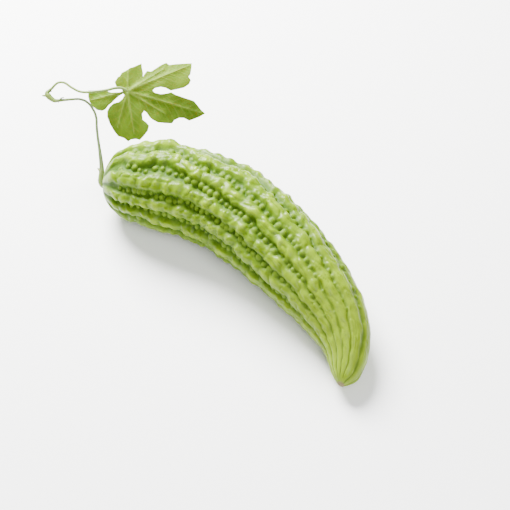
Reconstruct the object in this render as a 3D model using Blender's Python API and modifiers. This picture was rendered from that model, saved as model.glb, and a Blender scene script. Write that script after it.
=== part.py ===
# Bitter gourd, picked with its stalk, a cut knot of the vine and one leaf, lying on a flat surface.
# Frame: +Z up, +X from the stalk end to the blossom tip, +Y to the outside of the fruit's bend.
# The origin is on the flat that the fruit lies on, under the middle of its length.
# All sizes below are in millimetres and degrees; the meshes are written in metres.

import math
import random

import bmesh
import bpy
import numpy as np
from mathutils import Matrix, Vector

MM = 0.001

# Fruit: its length along the middle line, and how that line bends seen from above
FRUIT_LENGTH = 252.0
HEADING = [
    (0, 43), (30, 30), (60, 25), (80, 17), (100, 6), (130, -2), (160, -7), (190, -12), (215, -27),
    (230, -45), (244, -62), (252, -71),
]
REST_STATION = 112.0

# Fruit: radius over the ribs, and how far its underside is lifted, each by distance from the stalk end
RADIUS = [
    (0, 4.0), (1.2, 9.0), (4, 14.2), (9, 19.6), (18, 24.8), (32, 28.6), (54, 30.8), (90, 31.3),
    (120, 30.8), (145, 29.0), (167, 26.6), (188, 23.7), (207, 20.0), (222, 16.3), (235, 12.4),
    (243, 9.6), (248, 6.4), (251, 3.0), (252, 1.3),
]
LIFT = [
    (0, 20), (1.2, 15), (4, 10.5), (9, 6.5), (18, 2.6), (32, 0.6), (50, 0), (195, 0), (222, 0.8),
    (243, 3.5), (252, 9.5),
]

# Ribs: angle of each one's crest round the fruit (0 is the side of +Y, 90 the top), by distance
RIBS = {
    "outer": [
        (0, 30), (50, 24), (75, 44), (100, 43), (130, 53), (160, 61), (185, 68), (211, 72), (252, 74),
    ],
    "upper": [
        (0, 58), (40, 48), (54, 51), (63, 62), (72, 76), (90, 72), (100, 69), (118, 78), (135, 82),
        (160, 82), (185, 91), (211, 95), (252, 96),
    ],
    "crown": [
        (0, 84), (15, 79), (25, 91), (31, 96), (42, 85), (52, 84), (62, 94), (76, 103), (92, 102),
        (105, 108), (119, 106), (140, 111), (185, 114), (211, 118), (252, 118),
    ],
    "middle": [
        (0, 116), (20, 129), (40, 132), (55, 130), (70, 132), (84, 134), (116, 136), (135, 137),
        (185, 136), (252, 140),
    ],
    "front": [
        (0, 150), (20, 162), (40, 162), (53, 158), (67, 160), (80, 160), (105, 157), (133, 161),
        (160, 164), (185, 158), (252, 160),
    ],
    "inner": [(0, 184), (30, 180), (60, 186), (100, 189), (140, 190), (180, 188), (252, 184)],
    "low inner": [(0, 214), (40, 209), (80, 216), (130, 218), (185, 214), (252, 210)],
    "under inner": [(0, 242), (50, 241), (90, 245), (150, 243), (252, 238)],
    "under": [(0, 270), (252, 268)],
    "under outer": [(0, 299), (60, 297), (110, 300), (170, 297), (252, 297)],
    "low outer": [(0, 330), (45, 327), (85, 334), (140, 329), (252, 328)],
    "side": [(0, 2), (40, -3), (80, 10), (120, 8), (170, 14), (211, 20), (252, 24)],
}
RIB_HEIGHT = [
    (0, 0.8), (8, 2.6), (24, 4.2), (60, 4.7), (120, 4.4), (165, 3.2), (205, 1.9), (240, 1.2), (252, 0.4),
]
RIB_SHARE = [(0, 0.64), (30, 0.60), (120, 0.61), (170, 0.68), (215, 0.80), (252, 0.86)]
RIB_STEEPNESS = 4.2
RIB_CROWN = 0.20
BROAD_RIBS = {"upper": 1.2, "middle": 1.08}
TALL_RIBS = {"upper": [(0, 0), (14, 1.5), (30, 2.0), (44, 2.6), (52, 0.8), (70, 0), (252, 0)]}
CALM_RIBS = {"under inner": 0.4, "under": 0.25, "under outer": 0.4}

# Lumps on the ribs, and how tall they are along the fruit
LUMP_PITCH = 8.0
LUMP_RADIUS = (3.2, 5.5)
LUMP_RISE = (0.25, 0.9)
LUMP_FADE = [(0, 0.7), (40, 1), (130, 0.9), (180, 0.45), (215, 0.15), (252, 0)]

# Warts: one row in each valley between two ribs
WART_FIRST, WART_LAST = 13.0, 212.0
WART_PITCH = 5.2
WART_RADIUS = [(0, 1.6), (40, 2.7), (130, 2.7), (180, 2.0), (212, 1.3)]
WART_SIZES = (0.55, 1.15)
WART_RISE = 0.95

# Base grid of the fruit, and the number of its faces that is kept where the skin curves
FRUIT_RINGS = 270
FRUIT_SEGMENTS = 260
FRUIT_FACES = 10400
FLAT_DEPTH = 0.5
SEED = 11

# Stalk, knot and leaf are drawn on a leaning plane behind the fruit's stalk end. Its grid has
# x to the right and y down, and zero at the end of the fruit; the third number is millimetres
# out of the plane, toward its front.
GRID = 0.698
PLANE_TURN = 45.5
PLANE_LEAN = 50.0
NECK = [
    (3.8, 1.5, -2, 3.3), (0.5, 0.8, 0, 2.9), (-1.6, -1.6, 0.6, 2.35), (-1.9, -6, 0.8, 2.05),
    (-1.5, -9.5, 0.8, 1.95), (-1.4, -11.5, 0.8, 1.95),
]
STALK = [
    (-1.4, -12.05, 0.8, 1.92), (-1.4, -14, 0.8, 1.8), (-1.6, -18, 0.8, 1.58), (-2.5, -26, 0.6, 1.35),
    (-4, -37, 0.3, 1.05), (-5.5, -47, 0, 0.97), (-6.5, -57, 0, 0.92), (-7, -66, 0, 0.9),
    (-10, -74, 0, 0.88), (-16.5, -81.7, 0, 0.87), (-23, -84.3, 0, 0.86), (-32, -84.2, 0, 0.88),
    (-41, -83.4, 0, 0.98), (-45.5, -83, 0, 1.15),
]
BRACT = [(-43.5, -83.4, 0.4, 0.55), (-41.5, -85.3, 0.9, 0.5), (-39, -86, 1.2, 0.35)]
KNOT = [
    (-46, -82.9, 0, 1.25), (-48.5, -83, 0, 1.45), (-52, -85, 0.1, 1.8), (-55, -88, 0.2, 2.1),
    (-55.8, -90.5, 0.2, 1.7), (-54.6, -92.3, 0.2, 1.25),
]
KNOT_STUB = [(-54.5, -87.6, 0.2, 1.1), (-57.5, -87.8, 0.2, 0.85), (-61, -88, 0.2, 0.45)]
PETIOLE = [
    (-54.2, -92.7, 0.2, 1.1), (-51, -95.4, 0.2, 0.9), (-48, -98.7, 0.3, 0.86), (-44.6, -100.9, 0.4, 0.86),
    (-40.5, -101.1, 0.6, 0.86), (-36.9, -99.8, 0.8, 0.86), (-33.4, -97.2, 1.2, 0.86),
    (-29.2, -94.6, 1.6, 0.86),
    (-23.6, -91.8, 2.2, 0.88), (-15.2, -90.8, 3.0, 0.9), (-8, -91.3, 3.3, 0.92), (4.5, -93, 3.0, 0.95),
    (11.5, -94.9, 2.2, 0.98), (17.5, -95.4, 1.3, 1.0), (22, -94, 0.6, 1.0), (25.5, -91.8, 0.1, 0.95),
]
PETIOLE_TIP = (29, -90.5, -0.2, 0.75)

# Leaf: outline of the five lobes on the same grid, from the petiole clockwise
LEAF_CENTRE = (24.5, -92)
OUTLINE = [
    (18.5, -94.5), (13, -97.5), (11.5, -101.5), (14.5, -106.5), (16.5, -107.5), (18.5, -111), (24.5, -114),
    (26.5, -115.8), (30.5, -117), (38, -120.7), (38.5, -116), (39.8, -111), (39.5, -106.5),
    (41, -109.5), (43.5, -113), (47.5, -112.5), (52.5, -116), (57.5, -119.5), (62.5, -122), (65.5, -119.7),
    (72.5, -120.7), (79.5, -121.2), (88, -122), (87.8, -116), (87, -110.5), (85, -108), (87.5, -104),
    (85.5, -100), (80.5, -96.5), (73.5, -94.7), (67.5, -93.4),
    (62.5, -96), (57.5, -97), (51.5, -95.5), (49.5, -93.2), (51.5, -91), (57.5, -89.7), (63.5, -90.5),
    (67.8, -91.8),
    (72.5, -89.2), (80.5, -86.7), (87.5, -84.5), (90.5, -83.5), (93.5, -80), (97.5, -75), (101.5, -71.5),
    (95.5, -68), (90.5, -66), (85.5, -64), (80.5, -66.5), (75.5, -66.5), (70.5, -64), (68.5, -61),
    (62.5, -61), (54.5, -61.5), (49.5, -64), (46.5, -66.5), (43.5, -71), (41, -73),
    (38.8, -70), (39.5, -64), (43.5, -61), (45.8, -58), (44.5, -53), (40.5, -48), (36.5, -44), (32.5, -45),
    (27.5, -44.5), (24.5, -42.7), (20.5, -46), (14.5, -48), (10.5, -53), (6.5, -60), (4, -67), (4, -72.5),
    (6.5, -77), (10.5, -80.3), (15.5, -81.5), (19.5, -84.5), (21.5, -88.5),
    (20, -90), (16, -87.7), (11.5, -84), (8.5, -81.2), (5, -78.5), (2, -74.5), (-1.5, -73), (-6.5, -74),
    (-11.5, -78), (-14.5, -83), (-15.8, -88), (-15.5, -94), (-6.5, -94), (2.5, -93.2), (8.5, -91),
    (16.5, -91.1),
    (19.5, -92.2),
]
VEIN_ENDS = [
    (85, -119), (98, -72), (31, -50), (25.5, -117), (-13, -84), (62, -70), (60, -115), (14, -56),
]
BLADE_CELL = 2.6
BLADE_THICKNESS = 0.7


def along(stations, distance):
    """Value at a distance, on a smooth line through (distance, value) stations."""
    at = np.array([s for s, _ in stations], float)
    value = np.array([v for _, v in stations], float)
    secant = np.diff(value) / np.diff(at)
    slope = np.zeros(len(at))
    slope[0], slope[-1] = secant[0], secant[-1]
    same_way = secant[:-1] * secant[1:] > 0
    harmonic = 2 * secant[:-1] * secant[1:] / np.where(same_way, secant[:-1] + secant[1:], 1)
    slope[1:-1] = np.where(same_way, harmonic, 0)
    d = np.clip(np.asarray(distance, float), at[0], at[-1])
    i = np.clip(np.searchsorted(at, d, side="right") - 1, 0, len(at) - 2)
    width = at[i + 1] - at[i]
    t = (d - at[i]) / width
    return (
        value[i] * (1 + 2 * t) * (1 - t) ** 2
        + slope[i] * width * t * (1 - t) ** 2
        + value[i + 1] * t * t * (3 - 2 * t)
        + slope[i + 1] * width * t * t * (t - 1)
    )


def heading(distance):
    return np.radians(along(HEADING, distance))


def middle_line(distance):
    """Plan position of the fruit's middle line, with the rest station over the origin."""
    steps = np.linspace(0, FRUIT_LENGTH, 1033)
    turn = heading(steps)
    step = steps[1]
    x = np.concatenate([[0], np.cumsum(np.cos((turn[1:] + turn[:-1]) / 2)) * step])
    y = np.concatenate([[0], np.cumsum(np.sin((turn[1:] + turn[:-1]) / 2)) * step])
    x -= np.interp(REST_STATION, steps, x)
    y -= np.interp(REST_STATION, steps, y)
    return np.interp(distance, steps, x), np.interp(distance, steps, y)


def waves(generator, wavelengths):
    """A smooth random line of about unit height, as a function of distance."""
    terms = []
    for wavelength in wavelengths:
        start = generator.uniform(0, 2 * math.pi)
        terms.append((2 * math.pi / wavelength, start, generator.uniform(0.6, 1)))
    scale = 1 / math.sqrt(sum(a * a for _, _, a in terms) / 2)
    return lambda d: scale * sum(a * np.sin(k * d + p) for k, p, a in terms)


def rib_lines(generator):
    """For each rib: its line along the fruit, and how it sways, swells and spreads."""
    ribs = []
    for name, line in RIBS.items():
        ribs.append({
            "line": line,
            "sway": waves(generator, (47, 27, 17)),
            "wiggle": waves(generator, (19, 11, 7)),
            "swell": waves(generator, (31, 17, 9)),
            "spread": waves(generator, (23, 13, 8)),
            "calm": CALM_RIBS.get(name, 1),
            "broad": BROAD_RIBS.get(name, 1),
            "tall": TALL_RIBS.get(name, [(0, 0), (252, 0)]),
        })
    return ribs


def rib_angle(rib, distance):
    drift = rib["sway"](distance) + 0.55 * rib["wiggle"](distance)
    return np.radians(along(rib["line"], distance) + rib["calm"] * drift)


def warts(generator, ribs):
    """(distance, angle, radius) of each wart, in a row between each two ribs."""
    found = []
    for rib, following in zip(ribs, ribs[1:] + ribs[:1]):
        distance = WART_FIRST + generator.uniform(0, WART_PITCH)
        while distance < WART_LAST:
            low = rib_angle(rib, distance)
            gap = (rib_angle(following, distance) - low) % (2 * math.pi)
            across = 0.5 + generator.uniform(-0.13, 0.13)
            radius = along(WART_RADIUS, distance) * generator.uniform(*WART_SIZES)
            found.append((distance, float(low + gap * across), float(radius)))
            distance += WART_PITCH * generator.uniform(0.7, 1.2)
    return found


def lumps(generator, ribs):
    """(distance, angle, radius, rise) of each low lump on the ribs."""
    found = []
    for rib in ribs:
        distance = generator.uniform(4, 4 + LUMP_PITCH)
        while distance < WART_LAST:
            turn = rib_angle(rib, distance) + math.radians(generator.uniform(-8, 8))
            radius = generator.uniform(*LUMP_RADIUS)
            rise = generator.uniform(*LUMP_RISE) * rib["calm"] * along(LUMP_FADE, distance)
            found.append((distance, float(turn), radius, float(rise)))
            distance += LUMP_PITCH * generator.uniform(0.7, 1.3)
    return found


def relief(distance, angle, ribs, bumps, swellings):
    """Height of the skin over the valley floor, on a grid of distances and angles."""
    depth = along(RIB_HEIGHT, distance)
    share = along(RIB_SHARE, distance)
    centres = np.stack([rib_angle(rib, distance) for rib in ribs])
    raised = np.zeros_like(distance)
    for k, rib in enumerate(ribs):
        below, above = centres[k - 1], centres[(k + 1) % len(ribs)]
        offset = (angle - centres[k] + math.pi) % (2 * math.pi) - math.pi
        half_gap = np.where(
            offset > 0,
            (above - centres[k]) % (2 * math.pi),
            (centres[k] - below) % (2 * math.pi),
        ) / 2
        wide = share * rib["broad"] * (1 + 0.08 * rib["calm"] * rib["spread"](distance))
        x = np.abs(offset) / half_gap / wide
        crown = 1 - RIB_CROWN * np.minimum(x, 1.5) ** 2
        swell = 1 + 0.10 * rib["calm"] * rib["swell"](distance)
        tall = depth * swell + along(rib["tall"], distance)
        raised = np.maximum(raised, tall * crown / (1 + x ** (2 * RIB_STEEPNESS)))
    base = along(RADIUS, distance) - depth
    for at, turn, radius, rise in swellings:
        near = np.abs(distance - at) < radius
        around = base[near] * ((angle[near] - turn + math.pi) % (2 * math.pi) - math.pi)
        apart = ((distance[near] - at) ** 2 + around**2) / radius**2
        raised[near] += rise * np.clip(1 - apart, 0, 1) ** 2 * np.clip(raised[near] / depth[near], 0, 1)
    for at, turn, radius in bumps:
        near = np.abs(distance - at) < radius
        around = base[near] * ((angle[near] - turn + math.pi) % (2 * math.pi) - math.pi)
        apart = ((distance[near] - at) ** 2 + around**2) / radius**2
        raised[near] = np.maximum(raised[near], WART_RISE * radius * np.sqrt(np.clip(1 - apart, 0, 1)))
    return raised


def middle_height(distance):
    return along(RADIUS, distance) + along(LIFT, distance) - FLAT_DEPTH


def skin(distance, angle, ribs, bumps, swellings):
    """Points of the fruit's skin, in millimetres, for grids of distance and angle."""
    x, y = middle_line(distance)
    turn = heading(distance)
    raised = relief(distance, angle, ribs, bumps, swellings)
    radius = along(RADIUS, distance) - along(RIB_HEIGHT, distance) + raised
    side = radius * np.cos(angle)
    height = middle_height(distance) + radius * np.sin(angle)
    return np.stack([x - np.sin(turn) * side, y + np.cos(turn) * side, height], -1)


def clear_scene():
    for obj in list(bpy.data.objects):
        bpy.data.objects.remove(obj)


def new_collection(name):
    collection = bpy.data.collections.new(name)
    bpy.context.scene.collection.children.link(collection)
    return collection


def finish_of(name, colour, roughness):
    material = bpy.data.materials.new(name)
    material.use_nodes = True
    surface = material.node_tree.nodes["Principled BSDF"]
    surface.inputs["Base Color"].default_value = (*colour, 1)
    surface.inputs["Roughness"].default_value = roughness
    return material


def add_object(name, mesh, collection, material=None):
    obj = bpy.data.objects.new(name, mesh)
    collection.objects.link(obj)
    if material:
        mesh.materials.append(material)
    return obj


def hide_tool(obj):
    obj.hide_render = True
    obj.display_type = "WIRE"


def combine(body, tool, operation):
    modifier = body.modifiers.new(f"{operation.lower()} {tool.name}", "BOOLEAN")
    modifier.operation = operation
    modifier.solver = "EXACT"
    modifier.object = tool


def on_plane(x, y, toward):
    """A point of the leaning plane's grid, in metres."""
    turn, lean = math.radians(PLANE_TURN), math.radians(PLANE_LEAN)
    right = Vector((math.cos(turn), math.sin(turn), 0))
    up = Vector((-math.sin(turn) * math.sin(lean), math.cos(turn) * math.sin(lean), math.cos(lean)))
    front = Vector((math.sin(turn) * math.cos(lean), -math.cos(turn) * math.cos(lean), math.sin(lean)))
    start = np.zeros(1)
    end_x, end_y = middle_line(start)
    end = Vector((float(end_x[0]), float(end_y[0]), float(middle_height(start)[0])))
    return (end + right * x * GRID - up * y * GRID + front * toward) * MM


def tube(name, route, collection, material=None, steps=5, sides=2):
    """A round tube along a route of (x, y, toward, radius) points, with flat ends."""
    curve = bpy.data.curves.new(name, "CURVE")
    curve.dimensions = "3D"
    curve.bevel_depth = MM
    curve.bevel_resolution = sides
    curve.use_fill_caps = True
    curve.resolution_u = steps
    spline = curve.splines.new("BEZIER")
    spline.bezier_points.add(len(route) - 1)
    for point, (x, y, toward, radius) in zip(spline.bezier_points, route):
        point.co = on_plane(x, y, toward)
        point.radius = radius
        point.handle_left_type = "AUTO"
        point.handle_right_type = "AUTO"
    drawn = bpy.data.objects.new(name + " line", curve)
    bpy.context.scene.collection.objects.link(drawn)
    bpy.context.view_layer.update()
    mesh = bpy.data.meshes.new_from_object(drawn.evaluated_get(bpy.context.evaluated_depsgraph_get()))
    mesh.name = name
    bpy.data.objects.remove(drawn)
    cage = bmesh.new()
    cage.from_mesh(mesh)
    bmesh.ops.remove_doubles(cage, verts=cage.verts, dist=1e-6)
    bmesh.ops.recalc_face_normals(cage, faces=cage.faces)
    cage.to_mesh(mesh)
    cage.free()
    mesh.materials.clear()
    return add_object(name, mesh, collection, material)


def floor_cutter(collection):
    """A block whose top is the plane that the fruit lies on."""
    mesh = bpy.data.meshes.new("floor block")
    cage = bmesh.new()
    place = Matrix.Translation((0, 0, -20 * MM)) @ Matrix.Diagonal((400 * MM, 300 * MM, 40 * MM, 1))
    bmesh.ops.create_cube(cage, size=1, matrix=place)
    cage.to_mesh(mesh)
    cage.free()
    block = add_object("floor block", mesh, collection)
    hide_tool(block)
    return block


def make_fruit(parts, cutters):
    generator = random.Random(SEED)
    ribs = rib_lines(generator)
    bumps = warts(generator, ribs)
    swellings = lumps(generator, ribs)
    mesh = bpy.data.meshes.new("fruit")
    cage = bmesh.new()
    bmesh.ops.create_uvsphere(cage, u_segments=FRUIT_SEGMENTS, v_segments=FRUIT_RINGS, radius=1)
    directions = np.array([v.co for v in cage.verts])
    polar = np.arccos(np.clip(directions[:, 2], -1, 1)) / math.pi
    distance = FRUIT_LENGTH * polar
    angle = np.arctan2(directions[:, 1], directions[:, 0])
    points = skin(distance, angle, ribs, bumps, swellings)
    pole = (polar < 1e-6) | (polar > 1 - 1e-6)
    x, y = middle_line(distance)
    middle = np.stack([x, y, middle_height(distance)], -1)
    points[pole] = middle[pole]
    for vertex, point in zip(cage.verts, points):
        vertex.co = Vector(point * MM)
    bmesh.ops.recalc_face_normals(cage, faces=cage.faces)
    cage.to_mesh(mesh)
    cage.free()
    fruit = add_object("fruit", mesh, parts, finish_of("gourd skin", (0.36, 0.52, 0.06), 0.4))
    fewer = fruit.modifiers.new("fewer faces", "DECIMATE")
    fewer.ratio = FRUIT_FACES / (2 * FRUIT_SEGMENTS * (FRUIT_RINGS - 1))
    neck = tube("neck", NECK, cutters, steps=4)
    hide_tool(neck)
    combine(fruit, neck, "UNION")
    combine(fruit, floor_cutter(cutters), "DIFFERENCE")
    return fruit


def make_stalk(parts, cutters):
    stalk = tube("fruit_stalk", STALK, parts, finish_of("stalk skin", (0.30, 0.36, 0.16), 0.55), steps=3)
    bract = tube("bract", BRACT, cutters, steps=2, sides=1)
    hide_tool(bract)
    combine(stalk, bract, "UNION")
    return stalk


def make_knot(parts, cutters):
    knot = tube("vine_knot", KNOT, parts, finish_of("knot skin", (0.42, 0.50, 0.08), 0.55), steps=3)
    stub = tube("knot stub", KNOT_STUB, cutters, steps=2, sides=1)
    hide_tool(stub)
    combine(knot, stub, "UNION")
    return knot


def distance_to_line(x, y, end):
    """Distance from a grid point to one vein of the leaf, and the share along it."""
    start = Vector(LEAF_CENTRE)
    line = Vector(end) - start
    share = min(1, max(0, (Vector((x, y)) - start).dot(line) / line.length_squared))
    return (Vector((x, y)) - start - line * share).length, share


def blade_relief(x, y):
    """How far the blade stands out of its plane, in millimetres, at a grid point."""
    right, up = (x - LEAF_CENTRE[0]) * GRID, -(y - LEAF_CENTRE[1]) * GRID
    out = -0.0026 * right**2 - 0.006 * max(up, 0) ** 2 - 0.0028 * min(up, 0) ** 2
    out -= 0.10 * max(-right - 9, 0)
    reach = math.hypot(right, up)
    out += 0.030 * reach * math.sin(5 * math.atan2(up, right) + 0.9)
    out += 0.35 * math.sin(right / 2.6) * math.sin(up / 3.1 + 1)
    for end in VEIN_ENDS:
        apart, share = distance_to_line(x, y, end)
        out += 0.9 * (1 - 0.6 * share) * math.exp(-((apart * GRID / 1.6) ** 2)) * min(1, reach / 6)
    return out


def make_leaf(parts, cutters):
    mesh = bpy.data.meshes.new("leaf")
    cage = bmesh.new()
    corners = [cage.verts.new((x, y, 0)) for x, y in OUTLINE]
    cage.faces.new(corners)
    for axis in (0, 1):
        low = min(point[axis] for point in OUTLINE)
        high = max(point[axis] for point in OUTLINE)
        cut = low + BLADE_CELL / GRID
        normal = Vector((1 - axis, axis, 0))
        while cut < high - 1:
            everything = cage.verts[:] + cage.edges[:] + cage.faces[:]
            bmesh.ops.bisect_plane(cage, geom=everything, dist=1e-5, plane_co=normal * cut, plane_no=normal)
            cut += BLADE_CELL / GRID
    bmesh.ops.triangulate(cage, faces=cage.faces)
    for vertex in cage.verts:
        x, y = vertex.co.x, vertex.co.y
        vertex.co = on_plane(x, y, blade_relief(x, y))
    bmesh.ops.recalc_face_normals(cage, faces=cage.faces)
    cage.to_mesh(mesh)
    cage.free()
    leaf = add_object("leaf", mesh, parts, finish_of("leaf skin", (0.27, 0.42, 0.05), 0.5))
    thicken = leaf.modifiers.new("blade thickness", "SOLIDIFY")
    thicken.thickness = BLADE_THICKNESS * MM
    thicken.offset = 0
    petiole = tube("petiole", PETIOLE + [PETIOLE_TIP], cutters, steps=3)
    hide_tool(petiole)
    combine(leaf, petiole, "UNION")
    return leaf


clear_scene()
parts = new_collection("bitter_gourd")
cutters = new_collection("cutters")
make_fruit(parts, cutters)
make_stalk(parts, cutters)
make_knot(parts, cutters)
make_leaf(parts, cutters)
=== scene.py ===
import math
import random

import bmesh
import bpy
import numpy as np
from mathutils import Matrix, Vector


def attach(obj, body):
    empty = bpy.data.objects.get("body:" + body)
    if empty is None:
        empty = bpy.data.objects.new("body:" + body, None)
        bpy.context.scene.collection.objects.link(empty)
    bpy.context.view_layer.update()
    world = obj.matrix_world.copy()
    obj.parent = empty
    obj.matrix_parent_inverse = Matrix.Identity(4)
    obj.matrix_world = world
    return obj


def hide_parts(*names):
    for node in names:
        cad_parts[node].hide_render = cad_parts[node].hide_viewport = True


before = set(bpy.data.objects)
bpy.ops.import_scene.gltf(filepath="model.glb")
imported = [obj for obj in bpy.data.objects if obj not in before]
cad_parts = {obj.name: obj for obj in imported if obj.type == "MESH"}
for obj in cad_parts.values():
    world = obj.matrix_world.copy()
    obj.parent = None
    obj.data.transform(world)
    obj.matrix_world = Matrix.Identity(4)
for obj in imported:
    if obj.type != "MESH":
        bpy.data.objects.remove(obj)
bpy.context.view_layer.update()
mm = 0.001
print("frame is in")

# the gourd's form: every pair is (millimetres from the stalk end, value)
gourdForm = {
    "length": 252.0,
    "restsAt": 112.0,
    "heading": [
        (0, 43), (30, 30), (60, 25), (80, 17), (100, 6), (130, -2), (160, -7), (190, -12), (215, -27),
        (230, -45), (244, -62), (252, -71),
    ],
    "radius": [
        (0, 4.0), (1.2, 9.0), (4, 14.2), (9, 19.6), (18, 24.8), (32, 28.6), (54, 30.8), (90, 31.3),
        (120, 30.8), (145, 29.0), (167, 26.6), (188, 23.7), (207, 20.0), (222, 16.3), (235, 12.4),
        (243, 9.6), (248, 6.4), (251, 3.0), (252, 1.3),
    ],
    "lift": [
        (0, 20), (1.2, 15), (4, 10.5), (9, 6.5), (18, 2.6), (32, 0.6), (50, 0), (195, 0), (222, 0.8),
        (243, 3.5), (252, 9.5),
    ],
    "flat": 0.5,
    "ringsAlong": 460,
    "pointsRound": 214,
}

# ribs: where each crest runs round the fruit, 0 is the side of +Y and 90 the top
ribForm = {
    "lines": {
        "outer": [
            (0, 30), (50, 24), (75, 44), (100, 43), (130, 53), (160, 61), (185, 68), (211, 72), (252, 74),
        ],
        "upper": [
            (0, 58), (40, 48), (54, 51), (63, 62), (72, 76), (90, 72), (100, 69), (118, 78), (135, 82),
            (160, 82), (185, 91), (211, 95), (252, 96),
        ],
        "crown": [
            (0, 84), (15, 79), (25, 91), (31, 96), (42, 85), (52, 84), (62, 94), (76, 103), (92, 102),
            (105, 108), (119, 106), (140, 111), (185, 114), (211, 118), (252, 118),
        ],
        "middle": [
            (0, 116), (20, 129), (40, 132), (55, 130), (70, 132), (84, 134), (116, 136), (135, 137),
            (185, 136), (252, 140),
        ],
        "front": [
            (0, 150), (20, 162), (40, 162), (53, 158), (67, 160), (80, 160), (105, 157), (133, 161),
            (160, 164), (185, 158), (252, 160),
        ],
        "inner": [(0, 184), (30, 180), (60, 186), (100, 189), (140, 190), (180, 188), (252, 184)],
        "low inner": [(0, 214), (40, 209), (80, 216), (130, 218), (185, 214), (252, 210)],
        "under inner": [(0, 242), (50, 241), (90, 245), (150, 243), (252, 238)],
        "under": [(0, 270), (252, 268)],
        "under outer": [(0, 299), (60, 297), (110, 300), (170, 297), (252, 297)],
        "low outer": [(0, 330), (45, 327), (85, 334), (140, 329), (252, 328)],
        "side": [(0, 2), (40, -3), (80, 10), (120, 8), (170, 14), (211, 20), (252, 24)],
    },
    "height": [
        (0, 0.8), (8, 2.6), (24, 4.2), (60, 4.7), (120, 4.4), (165, 3.2), (205, 1.9), (240, 1.2),
        (252, 0.4),
    ],
    "share": [(0, 0.64), (30, 0.60), (120, 0.61), (170, 0.68), (215, 0.80), (252, 0.86)],
    "steepness": 4.2,
    "crown": 0.20,
    "wiggle": 0.55,
    "swell": 0.10,
    "spread": 0.08,
    "broad": {"upper": 1.2, "middle": 1.08},
    "tall": {"upper": [(0, 0), (14, 1.5), (30, 2.0), (44, 2.6), (52, 0.8), (70, 0), (252, 0)]},
    "calm": {"under inner": 0.4, "under": 0.25, "under outer": 0.4},
}

# low lumps on the ribs
lumpForm = {
    "first": 4.0,
    "pitch": 8.0,
    "uneven": (0.7, 1.3),
    "aside": 8,
    "radius": (3.2, 5.5),
    "rise": (0.25, 0.9),
    "fade": [(0, 0.7), (40, 1), (130, 0.9), (180, 0.45), (215, 0.15), (252, 0)],
}

# one row of warts in each valley
wartForm = {
    "first": 13.0,
    "last": 212.0,
    "pitch": 5.2,
    "uneven": (0.7, 1.2),
    "aside": 0.13,
    "radius": [(0, 1.6), (40, 2.7), (130, 2.7), (180, 2.0), (212, 1.3)],
    "sizes": (0.55, 1.15),
    "rise": 0.95,
    "seed": 11,
}


def along(stations, distance):  # a smooth line through (distance, value) pairs
    at = np.array([s for s, _ in stations], float)
    value = np.array([v for _, v in stations], float)
    secant = np.diff(value) / np.diff(at)
    slope = np.zeros(len(at))
    slope[0], slope[-1] = secant[0], secant[-1]
    sameWay = secant[:-1] * secant[1:] > 0
    harmonic = 2 * secant[:-1] * secant[1:] / np.where(sameWay, secant[:-1] + secant[1:], 1)
    slope[1:-1] = np.where(sameWay, harmonic, 0)
    d = np.clip(np.asarray(distance, float), at[0], at[-1])
    i = np.clip(np.searchsorted(at, d, side="right") - 1, 0, len(at) - 2)
    width = at[i + 1] - at[i]
    t = (d - at[i]) / width
    start = value[i] * (1 + 2 * t) * (1 - t) ** 2 + slope[i] * width * t * (1 - t) ** 2
    return start + value[i + 1] * t * t * (3 - 2 * t) + slope[i + 1] * width * t * t * (t - 1)


def heading(distance):
    return np.radians(along(gourdForm["heading"], distance))


def middleLine(distance):
    steps = np.linspace(0, gourdForm["length"], 1033)
    turn = heading(steps)
    x = np.concatenate([[0], np.cumsum(np.cos((turn[1:] + turn[:-1]) / 2)) * steps[1]])
    y = np.concatenate([[0], np.cumsum(np.sin((turn[1:] + turn[:-1]) / 2)) * steps[1]])
    x -= np.interp(gourdForm["restsAt"], steps, x)
    y -= np.interp(gourdForm["restsAt"], steps, y)
    return np.interp(distance, steps, x), np.interp(distance, steps, y)


def middleHeight(distance):
    return along(gourdForm["radius"], distance) + along(gourdForm["lift"], distance) - gourdForm["flat"]


def waves(dice, wavelengths):  # a random smooth line of about unit height
    parts = [(2 * math.pi / w, dice.uniform(0, 2 * math.pi), dice.uniform(0.6, 1)) for w in wavelengths]
    scale = 1 / math.sqrt(sum(a * a for _, _, a in parts) / 2)
    return lambda d: scale * sum(a * np.sin(k * d + p) for k, p, a in parts)


def makeRibs(dice):
    ribs = []
    for name, line in ribForm["lines"].items():
        sway, wiggle = waves(dice, (47, 27, 17)), waves(dice, (19, 11, 7))
        swell, spread = waves(dice, (31, 17, 9)), waves(dice, (23, 13, 8))
        calm, broad = ribForm["calm"].get(name, 1), ribForm["broad"].get(name, 1)
        tall = ribForm["tall"].get(name, [(0, 0), (252, 0)])
        ribs.append({
            "line": line, "sway": sway, "wiggle": wiggle, "swell": swell, "spread": spread,
            "calm": calm, "broad": broad, "tall": tall,
        })
    return ribs


def ribAngle(rib, distance):
    drift = rib["sway"](distance) + ribForm["wiggle"] * rib["wiggle"](distance)
    return np.radians(along(rib["line"], distance) + rib["calm"] * drift)


def placeWarts(dice, ribs):
    found = []
    for rib, following in zip(ribs, ribs[1:] + ribs[:1]):
        distance = wartForm["first"] + dice.uniform(0, wartForm["pitch"])
        while distance < wartForm["last"]:
            low = ribAngle(rib, distance)
            gap = (ribAngle(following, distance) - low) % (2 * math.pi)
            across = 0.5 + dice.uniform(-wartForm["aside"], wartForm["aside"])
            radius = along(wartForm["radius"], distance) * dice.uniform(*wartForm["sizes"])
            found.append((distance, float(low + gap * across), float(radius)))
            distance += wartForm["pitch"] * dice.uniform(*wartForm["uneven"])
    return found


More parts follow.
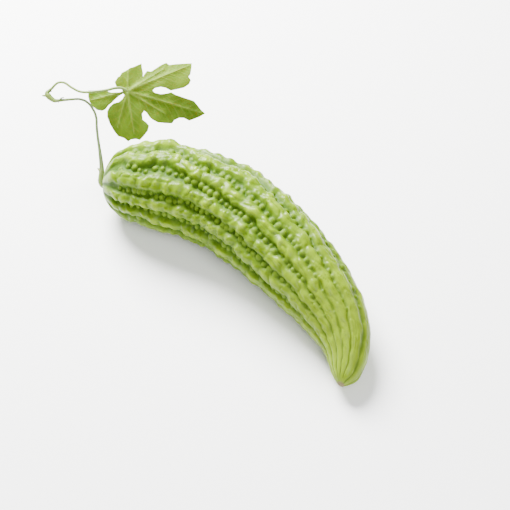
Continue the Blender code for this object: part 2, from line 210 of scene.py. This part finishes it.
def placeLumps(dice, ribs):
    found = []
    for rib in ribs:
        distance = dice.uniform(lumpForm["first"], lumpForm["first"] + lumpForm["pitch"])
        while distance < wartForm["last"]:
            aside = dice.uniform(-lumpForm["aside"], lumpForm["aside"])
            turn = ribAngle(rib, distance) + math.radians(aside)
            radius = dice.uniform(*lumpForm["radius"])
            rise = dice.uniform(*lumpForm["rise"]) * rib["calm"] * along(lumpForm["fade"], distance)
            found.append((distance, float(turn), radius, float(rise)))
            distance += lumpForm["pitch"] * dice.uniform(*lumpForm["uneven"])
    return found


def aroundZero(angle):
    return (angle + math.pi) % (2 * math.pi) - math.pi


# shallow creases and pits of the skin, too fine for the plain solid
creaseForm = {
    "waves": 16,
    "lengths": (4.0, 11.0),
    "lean": 0.42,
    "width": 0.55,
    "depth": 0.9,
    "fade": [(0, 0), (14, 1), (225, 0.8), (245, 0)],
    "aboutRadius": 30,
    "inValleys": 0.2,
    "onLowRibs": 0.3,
    "fullRib": 2.2,
    "shade": 0.35,
    "seed": 5,
}


def makeCreases(distance, angle):
    dice = random.Random(creaseForm["seed"])
    side, rise = creaseForm["aboutRadius"] * np.cos(angle), creaseForm["aboutRadius"] * np.sin(angle)
    field = np.zeros_like(distance)
    for _ in range(creaseForm["waves"]):
        reach = 2 * math.pi / dice.uniform(*creaseForm["lengths"])
        lean = dice.uniform(-creaseForm["lean"], creaseForm["lean"])
        turn = dice.uniform(0, 2 * math.pi)
        across = reach * math.cos(lean) * (math.cos(turn) * side + math.sin(turn) * rise)
        field += np.sin(across + reach * math.sin(lean) * distance + dice.uniform(0, 2 * math.pi))
    field /= math.sqrt(creaseForm["waves"] / 2)
    width = creaseForm["width"]
    return creaseForm["depth"] * np.clip(width - np.abs(field), 0, width) / width


def fromCentre(distance, angle, base, at, turn, radius):  # squared, 1 at the edge of the bump
    return ((distance - at) ** 2 + (base * aroundZero(angle - turn)) ** 2) / radius**2


def relief(distance, angle, ribs, warts, lumps):
    depth = along(ribForm["height"], distance)
    share = along(ribForm["share"], distance)
    centres = np.stack([ribAngle(rib, distance) for rib in ribs])
    raised = np.zeros_like(distance)
    for k, rib in enumerate(ribs):
        below, above = centres[k - 1], centres[(k + 1) % len(ribs)]
        offset = aroundZero(angle - centres[k])
        gapAbove, gapBelow = (above - centres[k]) % (2 * math.pi), (centres[k] - below) % (2 * math.pi)
        halfGap = np.where(offset > 0, gapAbove, gapBelow) / 2
        spread = 1 + ribForm["spread"] * rib["calm"] * rib["spread"](distance)
        wide = share * rib["broad"] * spread
        x = np.abs(offset) / halfGap / wide
        crown = 1 - ribForm["crown"] * np.minimum(x, 1.5) ** 2
        swell = 1 + ribForm["swell"] * rib["calm"] * rib["swell"](distance)
        tall = depth * swell + along(rib["tall"], distance)
        raised = np.maximum(raised, tall * crown / (1 + x ** (2 * ribForm["steepness"])))
    base = along(gourdForm["radius"], distance) - depth
    for at, turn, radius, rise in lumps:
        near = np.abs(distance - at) < radius
        apart = fromCentre(distance[near], angle[near], base[near], at, turn, radius)
        raised[near] += rise * np.clip(1 - apart, 0, 1) ** 2 * np.clip(raised[near] / depth[near], 0, 1)
    # this crest share also colours the skin: painted shade in the valleys, painted highlight on the crests
    crest = np.clip(raised / np.maximum(depth, 0.3), 0, 1.5)
    creases = makeCreases(distance, angle) * np.clip(crest, creaseForm["inValleys"], 1)
    creases *= along(creaseForm["fade"], distance)
    raised -= creases * np.clip(depth / creaseForm["fullRib"], creaseForm["onLowRibs"], 1)
    # painted shade: the creases also darken the skin's colour
    crest -= creaseForm["shade"] * creases
    wart = np.zeros_like(distance)
    for at, turn, radius in warts:
        near = np.abs(distance - at) < radius
        apart = fromCentre(distance[near], angle[near], base[near], at, turn, radius)
        dome = np.sqrt(np.clip(1 - apart, 0, 1))
        height = wartForm["rise"] * radius * dome
        wart[near] = np.maximum(wart[near], np.where(height > raised[near], dome, 0))
        raised[near] = np.maximum(raised[near], height)
    return raised, crest, wart


def skinPoints(distance, angle, ribs, warts, lumps):
    x, y = middleLine(distance)
    turn = heading(distance)
    raised, crest, wart = relief(distance, angle, ribs, warts, lumps)
    radius = along(gourdForm["radius"], distance) - along(ribForm["height"], distance) + raised
    side = radius * np.cos(angle)
    height = np.maximum(middleHeight(distance) + radius * np.sin(angle), 0)
    return np.stack([x - np.sin(turn) * side, y + np.cos(turn) * side, height], -1), crest, wart


def addPiece(name, mesh, material, slotName, *nodes):
    piece = bpy.data.objects.new(name, mesh)
    bpy.context.scene.collection.objects.link(piece)
    mesh.materials.clear()
    mesh.materials.append(material)
    for face in mesh.polygons:
        face.use_smooth = True
    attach(piece, "root")
    if nodes:
        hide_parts(*nodes)
    return piece


def pointValues(mesh, name, values):
    layer = mesh.attributes.new(name, "FLOAT", "POINT")
    layer.data.foreach_set("value", np.asarray(values, np.float32))


class NodeMaker:  # adds the nodes of one procedural finish
    def __init__(self, name):
        self.material = bpy.data.materials.new(name)
        self.material.use_nodes = True
        self.tree = self.material.node_tree
        self.surface = self.tree.nodes["Principled BSDF"]
        self.place = self.tree.nodes.new("ShaderNodeTexCoord").outputs["Object"]

    def link(self, value, socket):
        if isinstance(value, bpy.types.NodeSocket):
            self.tree.links.new(value, socket)
        else:
            socket.default_value = value

    def attribute(self, name):
        node = self.tree.nodes.new("ShaderNodeAttribute")
        node.attribute_name = name
        return node.outputs["Fac"]

    def noise(self, scale, detail):
        node = self.tree.nodes.new("ShaderNodeTexNoise")
        node.inputs["Scale"].default_value = scale
        node.inputs["Detail"].default_value = detail
        node.inputs["Roughness"].default_value = 0.55
        self.link(self.place, node.inputs["Vector"])
        return node.outputs["Fac"]

    def cells(self, scale, feature="F1"):
        node = self.tree.nodes.new("ShaderNodeTexVoronoi")
        node.feature = feature
        node.inputs["Scale"].default_value = scale
        self.link(self.place, node.inputs["Vector"])
        return node.outputs["Distance"]

    def maths(self, operation, first, second):
        node = self.tree.nodes.new("ShaderNodeMath")
        node.operation = operation
        self.link(first, node.inputs[0])
        self.link(second, node.inputs[1])
        return node.outputs[0]

    def spread(self, value, low, high, newLow=0.0, newHigh=1.0):
        node = self.tree.nodes.new("ShaderNodeMapRange")
        node.interpolation_type = "SMOOTHSTEP"
        self.link(value, node.inputs["Value"])
        ends = {"From Min": low, "From Max": high, "To Min": newLow, "To Max": newHigh}
        for socket, number in ends.items():
            node.inputs[socket].default_value = number
        return node.outputs["Result"]

    def blend(self, amount, first, second):
        node = self.tree.nodes.new("ShaderNodeMix")
        node.data_type = "RGBA"
        self.link(amount, node.inputs["Factor"])
        self.link(first, node.inputs[6])  # 6, 7 and 2 are the colour sockets
        self.link(second, node.inputs[7])
        return node.outputs[2]

    def bump(self, height, distance, strength, below=None):
        node = self.tree.nodes.new("ShaderNodeBump")
        node.inputs["Strength"].default_value = strength
        node.inputs["Distance"].default_value = distance
        self.link(height, node.inputs["Height"])
        if below:
            self.link(below, node.inputs["Normal"])
        return node.outputs["Normal"]

    def set(self, **values):
        for name, value in values.items():
            self.link(value, self.surface.inputs[name.replace("_", " ")])


skinLook = {
    # painted shade: the darker green in the rib valleys
    "valley": (0.036, 0.086, 0.0, 1),
    "flank": (0.086, 0.158, 0.0, 1),
    # painted highlight: the paler green on the rib crests
    "crest": (0.168, 0.264, 0.0, 1),
    "wart": (0.088, 0.158, 0.0, 1),
    "specksAndHighlight": (0.250, 0.350, 0.030, 1),  # painted highlight on the highest crests, also used for the pale specks at random
    "tip": (0.145, 0.215, 0.004, 1),
    # painted shade: the darker green in the valleys at the blossom end
    "endValley": (0.070, 0.120, 0.001, 1),
    "scar": (0.130, 0.100, 0.040, 1),
    "roughness": 0.30,
    # how fine each pattern is, in cells to the metre
    "patches": 38,
    "gloss": 90,
    "highlightPatches": 130,
    "swells": 140,
    "specks": 420,
    "pores": 900,
}


def gourdSkin():
    m = NodeMaker("gourdSkin")
    crest, wart, far = m.attribute("crest"), m.attribute("wart"), m.attribute("far")
    patchy = m.noise(skinLook["patches"], 4)
    fine = m.noise(skinLook["specks"], 3)
    end = m.spread(far, 0.52, 0.93)
    # painted shade: the valleys darker than the flanks, following the crest share
    low = m.blend(end, skinLook["valley"], skinLook["endValley"])
    middle = m.blend(end, skinLook["flank"], skinLook["tip"])
    colour = m.blend(m.spread(crest, 0.10, 0.90), low, middle)
    # painted highlight: the tops of the crests paler, in patches
    top = m.maths("MULTIPLY", m.spread(crest, 0.80, 1.12), m.spread(patchy, 0.35, 0.65, 0.15, 1.0))
    colour = m.blend(top, colour, skinLook["crest"])
    colour = m.blend(m.spread(wart, 0.2, 0.95, 0.0, 0.85), colour, skinLook["wart"])
    # painted highlight: pale patches on the highest crests and lumps
    highlightMask = m.spread(m.noise(skinLook["highlightPatches"], 4), 0.48, 0.66, 0.0, 0.4)
    colour = m.blend(m.maths("MULTIPLY", m.spread(crest, 1.0, 1.3), highlightMask), colour, skinLook["specksAndHighlight"])
    colour = m.blend(m.spread(fine, 0.45, 0.75, 0.0, 0.12), colour, skinLook["specksAndHighlight"])
    colour = m.blend(m.spread(far, 0.9955, 0.9985), colour, skinLook["scar"])
    dimples = m.bump(m.cells(skinLook["pores"]), 0.00010, 0.4)
    swells = m.bump(m.noise(skinLook["swells"], 3), 0.0006, 0.3, dimples)
    base = skinLook["roughness"]
    rough = m.spread(m.noise(skinLook["gloss"], 3), 0.3, 0.7, base - 0.04, base + 0.08)
    rough = m.maths("ADD", rough, m.spread(crest, 0.35, 0.95, 0.25, 0.0))  # duller between the ribs
    m.set(Base_Color=colour, Normal=swells, Roughness=rough, Specular_IOR_Level=0.15)
    m.set(Subsurface_Weight=0.12, Subsurface_Scale=0.003, Subsurface_Radius=(0.7, 1.0, 0.2))
    return m.material


def makeGourd():
    dice = random.Random(wartForm["seed"])
    ribs = makeRibs(dice)
    warts = placeWarts(dice, ribs)
    lumps = placeLumps(dice, ribs)
    cage = bmesh.new()
    around, rings = gourdForm["pointsRound"], gourdForm["ringsAlong"]
    bmesh.ops.create_uvsphere(cage, u_segments=around, v_segments=rings, radius=1)
    mesh = bpy.data.meshes.new("gourd")
    cage.to_mesh(mesh)
    cage.free()
    directions = np.empty(len(mesh.vertices) * 3)
    mesh.vertices.foreach_get("co", directions)
    directions = directions.reshape(-1, 3)
    polar = np.arccos(np.clip(directions[:, 2], -1, 1)) / math.pi
    distance = gourdForm["length"] * polar
    angle = np.arctan2(directions[:, 1], directions[:, 0])
    points, crest, wart = skinPoints(distance, angle, ribs, warts, lumps)
    pole = (polar < 1e-6) | (polar > 1 - 1e-6)
    x, y = middleLine(distance)
    points[pole] = np.stack([x, y, middleHeight(distance)], -1)[pole]
    mesh.vertices.foreach_set("co", (points * mm).ravel())
    pointValues(mesh, "crest", crest)
    pointValues(mesh, "wart", wart)
    pointValues(mesh, "far", polar)
    mesh.flip_normals()
    mesh.update()
    addPiece("gourdBody", mesh, gourdSkin(), "gourd_skin", "fruit")


# stalk, knot and leaf stand on a leaning grid: x right, y down, then millimetres toward its front
plane = {"cell": 0.698, "turn": 45.5, "lean": 50.0}


def planeWays():
    turn, lean = math.radians(plane["turn"]), math.radians(plane["lean"])
    right = Vector((math.cos(turn), math.sin(turn), 0))
    up = Vector((-math.sin(turn) * math.sin(lean), math.cos(turn) * math.sin(lean), math.cos(lean)))
    front = Vector((math.sin(turn) * math.cos(lean), -math.cos(turn) * math.cos(lean), math.sin(lean)))
    return right, up, front


def onPlane(x, y, toward):
    right, up, front = planeWays()
    start = np.zeros(1)
    endX, endY = middleLine(start)
    end = Vector((float(endX[0]), float(endY[0]), float(middleHeight(start)[0])))
    return (end + right * x * plane["cell"] - up * y * plane["cell"] + front * toward) * mm


# routes of the stems: x, y and toward on that grid, then the radius in millimetres
stalkForm = {
    "neck": [
        (3.8, 1.5, -2, 3.3), (0.5, 0.8, 0, 2.9), (-1.6, -1.6, 0.6, 2.35), (-1.9, -6, 0.8, 2.05),
        (-1.5, -9.5, 0.8, 1.95), (-1.4, -12.4, 0.8, 1.9),
    ],
    "stalk": [
        (-1.4, -12.05, 0.8, 1.92), (-1.4, -14, 0.8, 1.8), (-1.6, -18, 0.8, 1.58), (-2.5, -26, 0.6, 1.35),
        (-4, -37, 0.3, 1.05), (-5.5, -47, 0, 0.97), (-6.5, -57, 0, 0.92), (-7, -66, 0, 0.9),
        (-10, -74, 0, 0.88), (-16.5, -81.7, 0, 0.87), (-23, -84.3, 0, 0.86), (-32, -84.2, 0, 0.88),
        (-41, -83.4, 0, 0.98), (-45.5, -83, 0, 1.15),
    ],
    "bract": [(-43.5, -83.4, 0.4, 0.55), (-41.5, -85.3, 0.9, 0.5), (-39, -86, 1.2, 0.35)],
    "knot": [
        (-45.1, -83, 0, 1.12), (-48.5, -83, 0, 1.45), (-52, -85, 0.1, 1.8), (-55, -88, 0.2, 2.1),
        (-55.8, -90.5, 0.2, 1.7), (-53.9, -93, 0.2, 1.08),
    ],
    "knotStub": [(-54.5, -87.6, 0.2, 1.1), (-57.5, -87.8, 0.2, 0.85), (-61, -88, 0.2, 0.45)],
    "petiole": [
        (-54.2, -92.7, 0.2, 1.1), (-51, -95.4, 0.2, 0.9), (-48, -98.7, 0.3, 0.86),
        (-44.6, -100.9, 0.4, 0.86), (-40.5, -101.1, 0.6, 0.86), (-36.9, -99.8, 0.8, 0.86),
        (-33.4, -97.2, 1.2, 0.86), (-29.2, -94.6, 1.6, 0.86), (-23.6, -91.8, 2.2, 0.88),
        (-15.2, -90.8, 3.0, 0.9), (-8, -91.3, 3.3, 0.92),
        (4.5, -93, 3.0, 0.95), (11.5, -94.9, 2.2, 0.98), (17.5, -95.4, 1.3, 1.0), (22, -94, 0.6, 1.0),
        (25.5, -91.8, 0.1, 0.95), (29, -90.5, -0.2, 0.75),
    ],
    "sides": 40,
    "ridges": 5,
    "ridgeDepth": 0.07,
    "steps": 14,
}


def stemMesh(name, route, ridges=True):
    curve = bpy.data.curves.new(name, "CURVE")
    curve.dimensions = "3D"
    curve.bevel_depth = mm
    curve.bevel_resolution = stalkForm["sides"] // 2 - 2
    curve.use_fill_caps = True
    curve.resolution_u = stalkForm["steps"]
    spline = curve.splines.new("BEZIER")
    spline.bezier_points.add(len(route) - 1)
    for point, (x, y, toward, radius) in zip(spline.bezier_points, route):
        point.co = onPlane(x, y, toward)
        point.radius = radius
        point.handle_left_type = "AUTO"
        point.handle_right_type = "AUTO"
    drawn = bpy.data.objects.new(name + "Line", curve)
    bpy.context.scene.collection.objects.link(drawn)
    bpy.context.view_layer.update()
    settled = drawn.evaluated_get(bpy.context.evaluated_depsgraph_get())
    mesh = bpy.data.meshes.new_from_object(settled)
    mesh.name = name
    bpy.data.objects.remove(drawn)
    cage = bmesh.new()
    cage.from_mesh(mesh)
    bmesh.ops.remove_doubles(cage, verts=cage.verts, dist=1e-6)
    bmesh.ops.recalc_face_normals(cage, faces=cage.faces)
    cage.to_mesh(mesh)
    cage.free()
    sides = stalkForm["sides"]
    points = np.empty(len(mesh.vertices) * 3)
    mesh.vertices.foreach_get("co", points)
    rings = points.reshape(-1, sides, 3)
    middle = rings.mean(1, keepdims=True)
    turn = np.arange(sides) / sides * 2 * math.pi * stalkForm["ridges"]
    groove = stalkForm["ridgeDepth"] * (0.5 - 0.5 * np.cos(turn)) ** 1.5
    if ridges:
        rings = middle + (rings - middle) * (1 - groove)[None, :, None]
    mesh.vertices.foreach_set("co", rings.ravel())
    count = len(rings)
    pointValues(mesh, "run", np.repeat(np.linspace(0, 1, count), sides))
    pointValues(mesh, "groove", np.tile(groove / stalkForm["ridgeDepth"], count))
    mesh.update()
    return mesh


stalkLook = {
    "green": (0.090, 0.140, 0.035, 1),
    # painted shade: the darker green in the stalk's grooves
    "groove": (0.045, 0.080, 0.012, 1),
    "knotEnd": (0.120, 0.190, 0.008, 1),
    "neckEnd": (0.150, 0.220, 0.030, 1),
    "pale": (0.16, 0.22, 0.07, 1),
    "neck": [(0.11, 0.19, 0.004, 1), (0.13, 0.21, 0.012, 1), (0.15, 0.22, 0.030, 1)],
    "knot": (0.16, 0.24, 0.012, 1),
    "petiole": [(0.16, 0.25, 0.020, 1), (0.21, 0.29, 0.050, 1)],
    "specks": 500,
    "hairs": 2600,
}


def stalkSkin(name, startColour, middleColour, endColour):
    m = NodeMaker(name)
    run, groove = m.attribute("run"), m.attribute("groove")
    colour = m.blend(m.spread(run, 0.0, 0.22), startColour, middleColour)
    colour = m.blend(m.spread(run, 0.72, 1.0), colour, endColour)
    # painted shade in the grooves
    colour = m.blend(m.spread(groove, 0.2, 1.0, 0.0, 0.5), colour, stalkLook["groove"])
    specks = m.spread(m.noise(stalkLook["specks"], 4), 0.4, 0.75, 0.0, 0.4)
    colour = m.blend(specks, colour, stalkLook["pale"])
    hairs = m.bump(m.noise(stalkLook["hairs"], 2), 0.00008, 0.6)
    m.set(Base_Color=colour, Normal=hairs, Roughness=0.55, Subsurface_Weight=0.15, Subsurface_Scale=0.001)
    return m.material


def makeStalks():
    knotEnd = stalkLook["knotEnd"]
    neckFinish = stalkSkin("neckSkin", *stalkLook["neck"])
    addPiece("neck", stemMesh("neck", stalkForm["neck"]), neckFinish, "gourd_skin")
    stalkFinish = stalkSkin("stalkSkin", stalkLook["neckEnd"], stalkLook["green"], knotEnd)
    stalk = stemMesh("fruitStalk", stalkForm["stalk"])
    addPiece("fruitStalk", stalk, stalkFinish, "stalk_skin", "fruit_stalk")
    addPiece("bractScale", stemMesh("bractScale", stalkForm["bract"], False), stalkFinish, "stalk_skin")
    knotFinish = stalkSkin("knotSkin", knotEnd, stalkLook["knot"], knotEnd)
    addPiece("vineKnot", stemMesh("vineKnot", stalkForm["knot"]), knotFinish, "knot_skin", "vine_knot")
    addPiece("knotStub", stemMesh("knotStub", stalkForm["knotStub"], False), knotFinish, "knot_skin")
    petioleFinish = stalkSkin("petioleSkin", knotEnd, *stalkLook["petiole"])
    addPiece("petiole", stemMesh("petiole", stalkForm["petiole"]), petioleFinish, "leaf_skin")


# the leaf on the same grid: its outline from the petiole clockwise, and where its main veins end
leafForm = {
    "centre": (24.5, -92),
    "outline": [
        (18.5, -94.5), (13, -97.5), (11.5, -101.5), (14.5, -106.5), (16.5, -107.5), (18.5, -111),
        (24.5, -114), (26.5, -115.8), (30.5, -117), (38, -120.7), (38.5, -116), (39.8, -111),
        (39.5, -106.5), (41, -109.5), (43.5, -113), (47.5, -112.5), (52.5, -116), (57.5, -119.5),
        (62.5, -122), (65.5, -119.7), (72.5, -120.7), (79.5, -121.2), (88, -122), (87.8, -116),
        (87, -110.5), (85, -108), (87.5, -104), (85.5, -100), (80.5, -96.5), (73.5, -94.7),
        (67.5, -93.4), (62.5, -96), (57.5, -97), (51.5, -95.5), (49.5, -93.2), (51.5, -91),
        (57.5, -89.7), (63.5, -90.5), (67.8, -91.8), (72.5, -89.2), (80.5, -86.7), (87.5, -84.5),
        (90.5, -83.5), (93.5, -80), (97.5, -75), (101.5, -71.5), (95.5, -68), (90.5, -66),
        (85.5, -64), (80.5, -66.5), (75.5, -66.5), (70.5, -64), (68.5, -61), (62.5, -61),
        (54.5, -61.5), (49.5, -64), (46.5, -66.5), (43.5, -71), (41, -73), (38.8, -70), (39.5, -64),
        (43.5, -61), (45.8, -58), (44.5, -53), (40.5, -48), (36.5, -44), (32.5, -45), (27.5, -44.5),
        (24.5, -42.7), (20.5, -46), (14.5, -48), (10.5, -53), (6.5, -60), (4, -67), (4, -72.5),
        (6.5, -77), (10.5, -80.3), (15.5, -81.5), (19.5, -84.5), (21.5, -88.5), (20, -90),
        (16, -87.7), (11.5, -84), (8.5, -81.2), (5, -78.5), (2, -74.5), (-1.5, -73), (-6.5, -74),
        (-11.5, -78), (-14.5, -83), (-15.8, -88), (-15.5, -94), (-6.5, -94), (2.5, -93.2),
        (8.5, -91), (16.5, -91.1), (19.5, -92.2),
    ],
    "veins": [
        (85, -119), (98, -72), (31, -50), (25.5, -117), (-13, -84), (62, -70), (60, -115), (14, -56),
    ],
    "vein": {"rise": 0.9, "width": 1.6, "taper": 0.6, "rootFade": 6},
    "sideVeins": {"spacing": 6.5, "angle": 42, "length": 0.45},
    "droop": {"sideways": 0.0026, "upper": 0.006, "lower": 0.0028, "left": 0.10, "leftFrom": 9},
    "lobeWave": {"count": 5, "rise": 0.030, "turn": 0.9},
    "ripple": {"rise": 0.35, "across": 2.6, "down": 3.1},
    "cell": 0.75,
    "thickness": 0.7,
}


def veinLines():
    start = Vector(leafForm["centre"])
    mains, sides = [], []
    for end in leafForm["veins"]:
        end = Vector(end)
        mains.append((start, end))
        line = end - start
        count = max(2, int(line.length * plane["cell"] / leafForm["sideVeins"]["spacing"]))
        for k in range(1, count + 1):
            share = (k + 0.25) / (count + 1)
            root = start + line * share
            for side in (-1, 1):
                turn = math.radians(leafForm["sideVeins"]["angle"]) * side
                way = Matrix.Rotation(turn, 2) @ line.normalized()
                reach = line.length * leafForm["sideVeins"]["length"] * (1 - 0.7 * share)
                sides.append((root + line.normalized() * side, root + way * reach))
    return mains, sides


def nearLine(x, y, line):  # how far from the vein, and the share along it
    start, end = line
    way = end - start
    share = np.clip(((x - start.x) * way.x + (y - start.y) * way.y) / way.length_squared, 0, 1)
    return np.hypot(x - start.x - way.x * share, y - start.y - way.y * share), share


def bladeRelief(x, y):  # millimetres out of the plane: droop, waves, then the main veins
    droop, wave, ripple, vein = (leafForm[part] for part in ("droop", "lobeWave", "ripple", "vein"))
    right, up = (x - leafForm["centre"][0]) * plane["cell"], -(y - leafForm["centre"][1]) * plane["cell"]
    out = -droop["sideways"] * right**2
    out -= droop["upper"] * np.maximum(up, 0) ** 2
    out -= droop["lower"] * np.minimum(up, 0) ** 2
    out -= droop["left"] * np.maximum(-right - droop["leftFrom"], 0)
    reach = np.hypot(right, up)
    out += wave["rise"] * reach * np.sin(wave["count"] * np.arctan2(up, right) + wave["turn"])
    out += ripple["rise"] * np.sin(right / ripple["across"]) * np.sin(up / ripple["down"] + 1)
    for end in leafForm["veins"]:
        apart, share = nearLine(x, y, (Vector(leafForm["centre"]), Vector(end)))
        ridge = np.exp(-((apart * plane["cell"] / vein["width"]) ** 2))
        out += vein["rise"] * (1 - vein["taper"] * share) * ridge * np.minimum(1, reach / vein["rootFade"])
    return out


leafLook = {
    "deep": (0.068, 0.136, 0.0, 1),
    "fresh": (0.106, 0.192, 0.0, 1),
    "pale": (0.115, 0.190, 0.002, 1),
    "vein": (0.170, 0.250, 0.030, 1),
    "veinWidth": 0.75,
    "sideVeinWidth": 0.4,
    "patches": 55,
    "net": 520,
}


def leafSkin():
    m = NodeMaker("leafSkin")
    vein, side, upper = m.attribute("vein"), m.attribute("sideVein"), m.attribute("upperLobes")
    net = m.spread(m.cells(leafLook["net"], "DISTANCE_TO_EDGE"), 0.0, 0.09, 1.0, 0.0)
    patchy = m.noise(leafLook["patches"], 4)
    colour = m.blend(m.spread(patchy, 0.35, 0.68), leafLook["deep"], leafLook["fresh"])
    colour = m.blend(m.spread(upper, 0.0, 1.0, 0.0, 0.8), colour, leafLook["pale"])
    colour = m.blend(m.maths("MULTIPLY", net, 0.25), colour, leafLook["pale"])
    colour = m.blend(m.maths("MULTIPLY", side, 0.5), colour, leafLook["vein"])
    colour = m.blend(m.maths("MULTIPLY", vein, 0.85), colour, leafLook["vein"])
    puckers = m.bump(m.maths("MULTIPLY", net, -1.0), 0.0002, 0.5)
    ribs = m.bump(m.maths("ADD", vein, m.maths("MULTIPLY", side, 0.6)), 0.0005, 0.6, puckers)
    m.set(Base_Color=colour, Normal=ribs, Roughness=0.6, Specular_IOR_Level=0.15)
    m.set(Subsurface_Weight=0.15, Subsurface_Scale=0.002)
    return m.material


def makeLeaf():
    cage = bmesh.new()
    cage.faces.new([cage.verts.new((x, y, 0)) for x, y in leafForm["outline"]])
    step = leafForm["cell"] / plane["cell"]
    for axis in (0, 1):
        low = min(point[axis] for point in leafForm["outline"])
        high = max(point[axis] for point in leafForm["outline"])
        normal = Vector((1 - axis, axis, 0))
        for k in range(1, int((high - low) / step)):
            everything = cage.verts[:] + cage.edges[:] + cage.faces[:]
            cut = normal * (low + k * step)
            bmesh.ops.bisect_plane(cage, geom=everything, dist=1e-5, plane_co=cut, plane_no=normal)
    bmesh.ops.triangulate(cage, faces=cage.faces)
    mesh = bpy.data.meshes.new("leafBlade")
    cage.to_mesh(mesh)
    cage.free()
    flat = np.array([v.co[:2] for v in mesh.vertices])
    x, y = flat[:, 0], flat[:, 1]
    mains, sides = veinLines()
    vein, side = np.zeros(len(x)), np.zeros(len(x))
    for line in mains:
        apart, share = nearLine(x, y, line)
        width = leafLook["veinWidth"] * (1 - 0.55 * share)
        vein = np.maximum(vein, np.exp(-((apart * plane["cell"] / width) ** 2)))
    for line in sides:
        apart, share = nearLine(x, y, line)
        line = np.exp(-((apart * plane["cell"] / leafLook["sideVeinWidth"]) ** 2))
        side = np.maximum(side, line * (1 - 0.7 * share))
    for vertex, px, py, toward in zip(mesh.vertices, x, y, bladeRelief(x, y)):
        vertex.co = onPlane(px, py, toward)
    pointValues(mesh, "vein", vein)
    pointValues(mesh, "sideVein", side)
    pointValues(mesh, "upperLobes", np.clip((leafForm["centre"][1] - y) / 14 + 0.2, 0, 1))
    mesh.update()
    leaf = addPiece("leafBlade", mesh, leafSkin(), "leaf_skin", "leaf")
    thick = leaf.modifiers.new("thickness", "SOLIDIFY")
    thick.thickness = leafForm["thickness"] * mm
    thick.offset = 0


studio = {
    "floor": (0.95, 0.95, 0.94, 1),
    "sky": (1.0, 1.0, 1.0, 1),
    "skyStrength": 0.45,
    "lights": [
        # name, place, size, watts
        ("keyLight", (-0.75, 0.25, 0.80), 0.7, 108),
        ("fillLight", (0.8, -0.4, 1.0), 0.9, 20),
    ],
    "lens": 85,
    "away": 0.83,
    "aim": (0.0058, 0.0003, 0.0),
}


def makeStudio():
    mesh = bpy.data.meshes.new("floor")
    cage = bmesh.new()
    bmesh.ops.create_grid(cage, x_segments=1, y_segments=1, size=4)
    cage.to_mesh(mesh)
    cage.free()
    floor = bpy.data.objects.new("floor", mesh)
    bpy.context.scene.collection.objects.link(floor)
    finish = bpy.data.materials.new("paleFloor")
    finish.use_nodes = True
    surface = finish.node_tree.nodes["Principled BSDF"]
    surface.inputs["Base Color"].default_value = studio["floor"]
    surface.inputs["Roughness"].default_value = 0.8
    mesh.materials.append(finish)
    sky = bpy.data.worlds.new("sky")
    sky.use_nodes = True
    glow = sky.node_tree.nodes["Background"]
    glow.inputs["Color"].default_value = studio["sky"]
    glow.inputs["Strength"].default_value = studio["skyStrength"]
    bpy.context.scene.world = sky
    for name, place, size, watts in studio["lights"]:
        light = bpy.data.lights.new(name, "AREA")
        light.shape = "DISK"
        light.size = size
        light.energy = watts
        lamp = bpy.data.objects.new(name, light)
        lamp.location = place
        lamp.rotation_euler = (-Vector(place)).to_track_quat("-Z", "Y").to_euler()
        bpy.context.scene.collection.objects.link(lamp)


def makeCamera():
    right, up, back = planeWays()  # the camera faces the plane squarely
    lens = bpy.data.cameras.new("camera")
    lens.lens = studio["lens"]
    camera = bpy.data.objects.new("camera", lens)
    basis = Matrix((right, up, back)).transposed().to_4x4()
    camera.matrix_world = Matrix.Translation(Vector(studio["aim"]) + back * studio["away"]) @ basis
    bpy.context.scene.collection.objects.link(camera)
    bpy.context.scene.camera = camera


makeGourd()
print("gourd is in")
makeStalks()
print("stalk, knot and petiole are in")
makeLeaf()
print("leaf is in")
makeStudio()
makeCamera()
print("studio is in")
